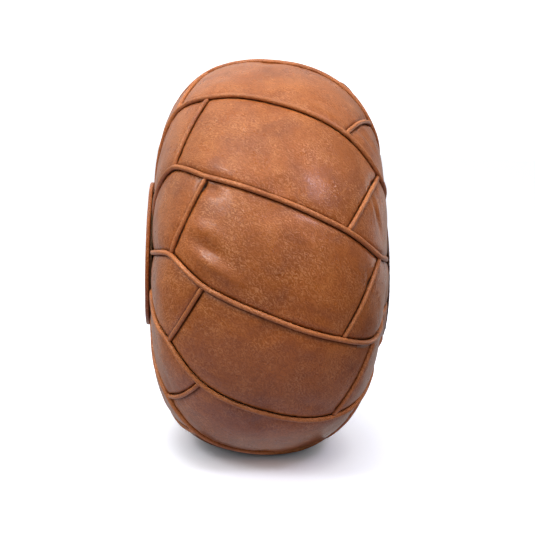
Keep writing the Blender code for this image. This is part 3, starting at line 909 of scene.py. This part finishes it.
def zip_coils():
    """Two nylon coils, one sewn to each tape."""
    start, end = ZIP_START + COIL_MARGIN, ZIP_END - COIL_MARGIN
    turns = int((end - start) * ZIP_RADIUS / COIL_PITCH)
    theta = np.linspace(0, 2 * math.pi * turns, turns * COIL_STEPS + 1)
    phi = start + theta / (2 * math.pi * turns) * (end - start)
    level = face_height(ZIP_RADIUS) + COIL_HALF_HEIGHT + COIL_WIRE + COIL_LIFT
    for label, sign in (("inner", -1), ("outer", 1)):
        across = sign * (COIL_OFFSET - COIL_HALF_WIDTH * np.cos(theta))
        radius = ZIP_RADIUS + across
        height = level + COIL_HALF_HEIGHT * np.sin(theta)
        centres = face_points(phi, radius, height)
        hub = face_points(phi, ZIP_RADIUS + sign * COIL_OFFSET, level)
        wire = np.full(len(theta), COIL_WIRE)
        made = swept("coil_" + label, centres, unit(centres - hub), wire, sides=5, rounded=False)
        piece(made, "zip_coil", "zip_coil_" + label)


# Stuffing

def bag(depth, end, lumps):
    """Points and faces of a lumpy bag under the cover, from the top face to an arc length."""
    s = np.linspace(LENGTH[0] + BAG_END, end, BAG_ROWS)
    phi = np.linspace(0, 2 * math.pi, BAG_SIDES, endpoint=False)
    grid_s, grid_phi = np.meshgrid(s, phi, indexing="ij")
    points = skin_points(grid_s, grid_phi, -depth).reshape(-1, 3)
    normal = outward(grid_s.ravel(), grid_phi.ravel())
    rough = lumps * (0.7 * noise_at(points, 45 * MM, 4) + 0.3 * noise_at(points, 14 * MM, 5) - 0.5)
    points = points + normal * rough[:, None]
    points[:, 2] = np.maximum(points[:, 2], depth - LEATHER)
    faces = grid_faces(BAG_ROWS, BAG_SIDES, wrap=True)
    faces.append(tuple(range(BAG_SIDES - 1, -1, -1)))
    return points, faces


def stuffing():
    """The cloth bag, open at the zip, and the fibre in it."""
    points, faces = bag(LINER_DEPTH, arc_to_radius(LINER_MOUTH, 1), LINER_LUMPS)
    made = new_object("liner_bag", points, faces)
    thicken(made, LINER)
    piece(made, "liner", "inner_liner")
    points, faces = bag(FILLING_DEPTH, LENGTH[-1] - BAG_END, FILLING_LUMPS)
    faces.append(tuple(range(len(points) - BAG_SIDES, len(points))))
    made = new_object("filling_fibre", points, faces)
    piece(made, "filling", "filling")


# Materials

class Nodes:
    """Small helper that adds nodes to a material or a world and joins them."""

    def __init__(self, owner, shader="Principled BSDF", coordinates="Object"):
        owner.use_nodes = True
        self.owner = owner
        self.tree = owner.node_tree
        self.shader = self.tree.nodes[shader]
        self.place = self.add("ShaderNodeTexCoord").outputs[coordinates]

    def add(self, kind, inputs=(), **settings):
        """A new node with these inputs and settings."""
        made = self.tree.nodes.new(kind)
        for key, value in settings.items():
            setattr(made, key, value)
        for key, value in dict(inputs).items():
            self.put(made.inputs[key], value)
        return made

    def shade(self, inputs):
        """Sets or joins the shader's own sockets."""
        for key, value in inputs.items():
            self.put(self.shader.inputs[key], value)

    def put(self, socket, value):
        """Joins an output to a socket, or sets its value."""
        if isinstance(value, bpy.types.NodeSocket):
            self.tree.links.new(value, socket)
        else:
            socket.default_value = value

    def noise(self, scale, detail, rough, distortion=0.0):
        """Noise in the object's own coordinates, 0 to 1."""
        inputs = {
            "Vector": self.place, "Scale": scale, "Detail": detail,
            "Roughness": rough, "Distortion": distortion,
        }
        return self.add("ShaderNodeTexNoise", inputs).outputs["Fac"]

    def ramp(self, value, *stops):
        """The value as a colour, between stops of (value, colour or grey)."""
        made = self.add("ShaderNodeValToRGB", {"Fac": value})
        elements = made.color_ramp.elements
        while len(elements) < len(stops):
            elements.new(0.5)
        for element, (at, colour) in zip(elements, stops):
            element.position = at
            element.color = (*(colour if isinstance(colour, tuple) else (colour,) * 3), 1)
        return made.outputs["Color"]

    def range(self, value, low, high, to_low, to_high):
        """The value carried from one range to another, and held at its ends."""
        inputs = {"Value": value, "From Min": low, "From Max": high}
        inputs.update({"To Min": to_low, "To Max": to_high})
        return self.add("ShaderNodeMapRange", inputs).outputs["Result"]

    def math(self, operation, first, second):
        """Two values put together."""
        return self.add("ShaderNodeMath", {0: first, 1: second}, operation=operation).outputs[0]

    def mix(self, factor, first, second, blend="MIX"):
        """Two colours put together."""
        inputs = {0: factor, 6: first, 7: second}
        return self.add("ShaderNodeMix", inputs, data_type="RGBA", blend_type=blend).outputs[2]

    def finish(self, colour, roughness, height, strength, distance):
        """Gives the shader its colour, its roughness and a fine relief."""
        inputs = {"Height": height, "Strength": strength, "Distance": distance}
        bump = self.add("ShaderNodeBump", inputs)
        self.shade({"Base Color": colour, "Roughness": roughness, "Normal": bump.outputs["Normal"]})


def leather(name, tones, seam_shade=True, roughness=(0.25, 0.36)):
    """Pull-up leather: cloudy colour, pale creases, fine grain, and painted shade in the seams."""
    n = Nodes(bpy.data.materials.new(name))
    light, middle, dark = tones
    cloud = n.noise(26, 6, 0.62, 0.6)
    colour = n.ramp(cloud, (0.3, dark), (0.5, middle), (0.68, light))
    patchy = n.noise(8, 3, 0.5, 0.3)
    shade = n.ramp(patchy, (0.34, 0.86), (0.62, 1.08))
    colour = n.mix(1.0, colour, shade, "MULTIPLY")
    strokes = {
        "Vector": n.place, "Scale": GRAIN, "Distortion": 15.0, "Detail": 3.0,
        "Detail Scale": 1.6, "Detail Roughness": 0.62,
    }
    grain = n.add("ShaderNodeTexWave", strokes, bands_direction="DIAGONAL").outputs["Fac"]
    ridge = n.range(grain, 0.45, 1.0, 0, 1)
    worn = n.range(n.noise(30, 4, 0.65, 0.5), 0.38, 0.62, 0.15, 1)
    broken = n.range(n.noise(260, 2, 0.5), 0.35, 0.6, 0.2, 1)
    lines = n.math("MULTIPLY", n.math("MULTIPLY", ridge, broken), worn)
    colour = n.mix(n.math("MULTIPLY", lines, 0.62), colour, (*VEIN, 1))
    colour = n.mix(n.range(grain, 0.0, 0.4, 0.5, 0), colour, (*(c * 0.55 for c in middle), 1))
    # Painted shade: the colour is darkened within a few mm of each welted seam, standing in for the
    # shade in its groove.
    if seam_shade:
        distance = n.add("ShaderNodeAttribute", attribute_name="seam_distance").outputs["Fac"]
        groove = n.range(distance, 2.6 * MM, 6.5 * MM, 0.35, 1)
        grey = n.add("ShaderNodeCombineColor", {0: groove, 1: groove, 2: groove}).outputs[0]
        colour = n.mix(1.0, colour, grey, "MULTIPLY")
    pore = n.add("ShaderNodeTexVoronoi", {"Vector": n.place, "Scale": 760.0}).outputs[0]
    wrinkle = n.noise(90, 4, 0.6, 1.0)
    height = n.math("ADD", n.math("MULTIPLY", pore, 0.16), n.math("MULTIPLY", wrinkle, 0.9))
    height = n.math("ADD", height, n.math("MULTIPLY", ridge, 0.45))
    rough = n.range(n.noise(40, 4, 0.6), 0.3, 0.7, *roughness)
    n.finish(colour, rough, height, 0.38, 0.9 * MM)
    n.shade({"Specular IOR Level": 0.36, "Coat Weight": 0.12, "Coat Roughness": 0.28})
    return n.owner


def plain(name, colour, roughness, scale, spread=0.15, depth=0.2 * MM, metallic=0.0):
    """A material with a little unevenness of colour and surface."""
    n = Nodes(bpy.data.materials.new(name))
    uneven = n.noise(scale, 4, 0.6)
    low = tuple(c * (1 - spread) for c in colour)
    high = tuple(min(1, c * (1 + spread)) for c in colour)
    n.finish(n.ramp(uneven, (0.3, low), (0.7, high)), roughness, uneven, 0.3, depth)
    n.shade({"Metallic": metallic})
    return n.owner


def woven(name, colour, roughness, pitch):
    """Threads that cross, for tape and cloth."""
    n = Nodes(bpy.data.materials.new(name))
    scale = 2 * math.pi / pitch / 20
    inputs = {"Vector": n.place, "Scale": scale}
    over = n.add("ShaderNodeTexWave", inputs, bands_direction="Z").outputs["Fac"]
    under = n.add("ShaderNodeTexWave", inputs, bands_direction="Y").outputs["Fac"]
    cross = n.math("MULTIPLY", over, under)
    dark = tuple(c * 0.55 for c in colour)
    n.finish(n.ramp(cross, (0.1, dark), (0.7, colour)), roughness, cross, 0.5, 0.15 * MM)
    return n.owner


TAN = ((0.46, 0.142, 0.030), (0.39, 0.108, 0.020), (0.28, 0.074, 0.018))
WELT_TAN = ((0.56, 0.190, 0.055), (0.48, 0.150, 0.038), (0.33, 0.095, 0.030))
VEIN = (0.66, 0.30, 0.13)  # colour of the pale creases
GRAIN = 95  # fineness of the creases
LOOKS = {
    "side_leather": leather("side_leather", TAN),
    "top_leather": leather("top_leather", TAN),
    "base_leather": leather("base_leather", TAN),
    "piping_leather": leather("piping_leather", WELT_TAN, seam_shade=False, roughness=(0.34, 0.46)),
    "disc_leather": leather("disc_leather", TAN, seam_shade=False),
    "thread": plain("thread", (0.30, 0.12, 0.05), 0.6, 900),
    "disc_board": plain("disc_board", (0.30, 0.19, 0.10), 0.85, 120),
    "zip_tape": woven("zip_tape", (0.22, 0.080, 0.030), 0.9, 0.7 * MM),
    "zip_coil": plain("zip_coil", (0.26, 0.100, 0.040), 0.42, 600),
    "zip_metal": plain("zip_metal", (0.80, 0.78, 0.74), 0.22, 260, 0.05, 0.03 * MM, 1.0),
    "liner": woven("liner", (0.62, 0.58, 0.50), 0.95, 0.9 * MM),
    "filling": plain("filling", (0.74, 0.70, 0.62), 0.97, 160, 0.1, 2 * MM),
}


# The pouf

leather_panels()
welts()
top_disc()
base_disc()
hinge_strip()
zip_tapes()
zip_coils()
cad_piece("zip_slider", "zip_metal", 0.25 * MM)
cad_piece("zip_pull", "zip_metal", 0.25 * MM)
stuffing()


# Stage, light and camera

FLOOR_GLOW = 0.4
# Painted contact shadow: the floor's glow is dimmed near the pouf.
SHADE_REACH = 0.045  # the floor's glow is dimmed this near to the pouf
# A dark sheet, hidden from the camera, stands in for the floor's shade under the pouf and darkens
# its underside.
CONTACT_SIZE = 0.21  # the dark patch under the pouf's resting place
CONTACT_DEPTH = 0.001  # it lies this far below the floor
BACKDROP_DISTANCE = 19
SKY_RIGHT = 0.45  # brightness on the right for 1 on the left
SKY = (  # colour by the direction's height, -1 to 1
    (-1, (0.60, 0.52, 0.66)),
    (-0.6, (0.56, 0.49, 0.60)),
    (-0.3, (0.12, 0.12, 0.13)),
    (-0.08, (0.12, 0.12, 0.13)),
    (0.05, (0.5, 0.5, 0.5)),
    (0.5, (0.85, 0.85, 0.86)),
    (1, (1, 1, 1)),
)
CENTRE = (0, 0, AXIS_HEIGHT)
CAMERA_YAW, CAMERA_PITCH, CAMERA_ROLL = math.radians(3.42), math.radians(7), math.radians(2.1)
CAMERA_DISTANCE = 1.54
CAMERA_LENS, CAMERA_SHIFT = 71.35, (0.00785, -0.0202)


def plane(name, size, colour, roughness=0.6, glow=0.0):
    """A square stage plane that may glow."""
    half = size / 2
    corners = [(-half, -half, 0), (half, -half, 0), (half, half, 0), (-half, half, 0)]
    made = new_object(name, corners, [(0, 1, 2, 3)], smooth=False)
    n = Nodes(bpy.data.materials.new(name))
    made.data.materials.append(n.owner)
    n.shade({"Base Color": (*colour, 1), "Roughness": roughness})
    n.shade({"Emission Color": (1, 1, 1, 1), "Emission Strength": glow})
    return made


def shade_glow(made, glow):
    """Dims a floor's glow where something stands close above it, a painted contact shadow."""
    n = Nodes(made.data.materials[0])
    open_share = n.add("ShaderNodeAmbientOcclusion", {"Distance": SHADE_REACH}).outputs["AO"]
    n.shade({"Emission Strength": n.math("MULTIPLY", open_share, glow)})


def softbox(name, place, size, power, colour=(1, 1, 1), mirrored=True):
    """A lamp with a face of this size, turned to the pouf's middle."""
    lamp = bpy.data.lights.new(name, "AREA")
    lamp.shape = "RECTANGLE"
    lamp.size, lamp.size_y = size
    lamp.energy = power
    lamp.color = colour
    made = bpy.data.objects.new(name, lamp)
    made.location = place
    made.visible_glossy = mirrored
    made.rotation_euler = (Vector(CENTRE) - Vector(place)).to_track_quat("-Z", "Y").to_euler()
    bpy.context.scene.collection.objects.link(made)


def only_mirrored(made):
    """Leaves a stage plane to be seen by reflections alone."""
    made.visible_camera = made.visible_diffuse = made.visible_shadow = False


floor = plane("floor", 40, (0.87, 0.91, 1.0), 0.5, FLOOR_GLOW)
floor.visible_diffuse = floor.visible_glossy = False
shade_glow(floor, FLOOR_GLOW)
# Dark sheet standing in for the shade under the pouf, seen by diffuse light only.
dark = plane("contact_dark", CONTACT_SIZE, (0.03, 0.03, 0.03), 0.8)
dark.location.z = -CONTACT_DEPTH
dark.visible_camera = False
for number in range(4):
    turn = number * math.pi / 2
    backdrop = plane(f"backdrop_{number + 1}", 40, (1, 1, 1), 0.6, 1.0)
    backdrop.location = (BACKDROP_DISTANCE * math.sin(turn), BACKDROP_DISTANCE * math.cos(turn), 0)
    backdrop.rotation_euler = (math.pi / 2, 0, -turn)
    backdrop.visible_diffuse = backdrop.visible_glossy = backdrop.visible_shadow = False
rear_card = plane("rear_card", 8, (0, 0, 0), 0.6, 0.5)
rear_card.location, rear_card.rotation_euler = (0, 4, -3.3), (math.pi / 2, 0, 0)
only_mirrored(rear_card)
side_card = plane("side_card", 1.1, (0, 0, 0), 0.6, 1.8)
side_card.location, side_card.rotation_euler = (2.4, 1.4, 0.45), (math.pi / 2, 0, math.radians(120))
only_mirrored(side_card)
softbox("top_light", (-0.35, -0.55, 2.6), (1.7, 1.7), 38, mirrored=False)
softbox("left_light", (-1.4, -1.25, 1.85), (0.5, 0.6), 18)
softbox("right_light", (1.05, -1.5, 1.9), (0.42, 0.42), 14, (1, 0.90, 1.1))


def studio_sky():
    """A soft sky, brightest overhead and on the left, with the floor's glow straight below."""
    n = Nodes(bpy.data.worlds.new("studio"), "Background", "Generated")
    split = n.add("ShaderNodeSeparateXYZ", {0: n.place})
    height = n.range(split.outputs["Z"], -1, 1, 0, 1)
    colour = n.ramp(height, *(((at + 1) / 2, colour) for at, colour in SKY))
    n.shade({"Color": colour, "Strength": n.range(split.outputs["X"], -0.3, 0.8, 1, SKY_RIGHT)})
    return n.owner


def place_camera():
    """The camera of the photo: it looks a little down from the front, slightly rolled."""
    forward = Vector((
        math.sin(CAMERA_YAW) * math.cos(CAMERA_PITCH),
        math.cos(CAMERA_YAW) * math.cos(CAMERA_PITCH),
        -math.sin(CAMERA_PITCH),
    ))
    level = Vector((math.cos(CAMERA_YAW), -math.sin(CAMERA_YAW), 0))
    upright = level.cross(forward)
    turn = Matrix.Rotation(-CAMERA_ROLL, 3, forward)
    axes = Matrix((turn @ level, turn @ upright, -forward)).transposed().to_4x4()
    lens = bpy.data.cameras.new("camera")
    lens.lens, lens.sensor_width = CAMERA_LENS, 36
    lens.shift_x, lens.shift_y = CAMERA_SHIFT
    made = bpy.data.objects.new("camera", lens)
    made.matrix_world = Matrix.Translation(Vector(CENTRE) - forward * CAMERA_DISTANCE) @ axes
    bpy.context.scene.collection.objects.link(made)
    bpy.context.scene.camera = made


bpy.context.scene.world = studio_sky()
bpy.context.scene.view_settings.view_transform = "Standard"
place_camera()
